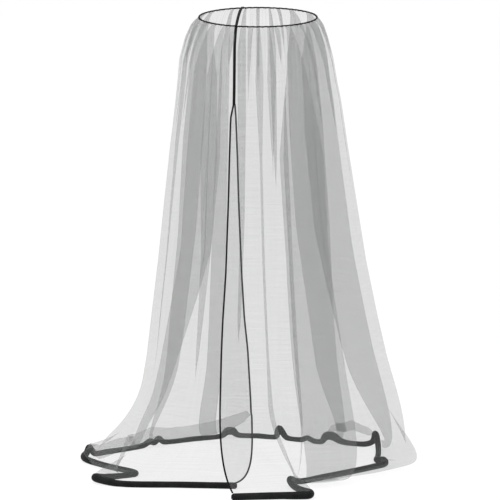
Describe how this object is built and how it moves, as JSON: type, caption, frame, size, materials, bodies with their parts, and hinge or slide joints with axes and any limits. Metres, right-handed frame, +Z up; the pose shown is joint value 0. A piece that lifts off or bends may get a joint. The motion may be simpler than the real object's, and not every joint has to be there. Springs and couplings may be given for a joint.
{
  "type": "parasol mosquito net",
  "caption": "Sheer mosquito net skirt gathered on a round top cord, with an overlapping bound doorway and a soft filled tube along the hem that holds it to the floor.",
  "frame": {"origin": "centre of the round top rim, in the plane of its cord", "axes": "+Z up, -Y towards the doorway at the front, +X to the right as seen from in front of the doorway"},
  "size_m": [1.7073, 1.7451, 2.3244],
  "materials": {
    "net": "sheer woven mesh",
    "cord": "matt",
    "tape": "matt",
    "tube": "satin coated"
  },
  "bodies": {
    "root": {"net": "net", "rim_cord": "cord", "tape": "tape", "binding_left": "tape", "binding_right": "tape", "base_tube": "tube"}
  },
  "joints": []
}
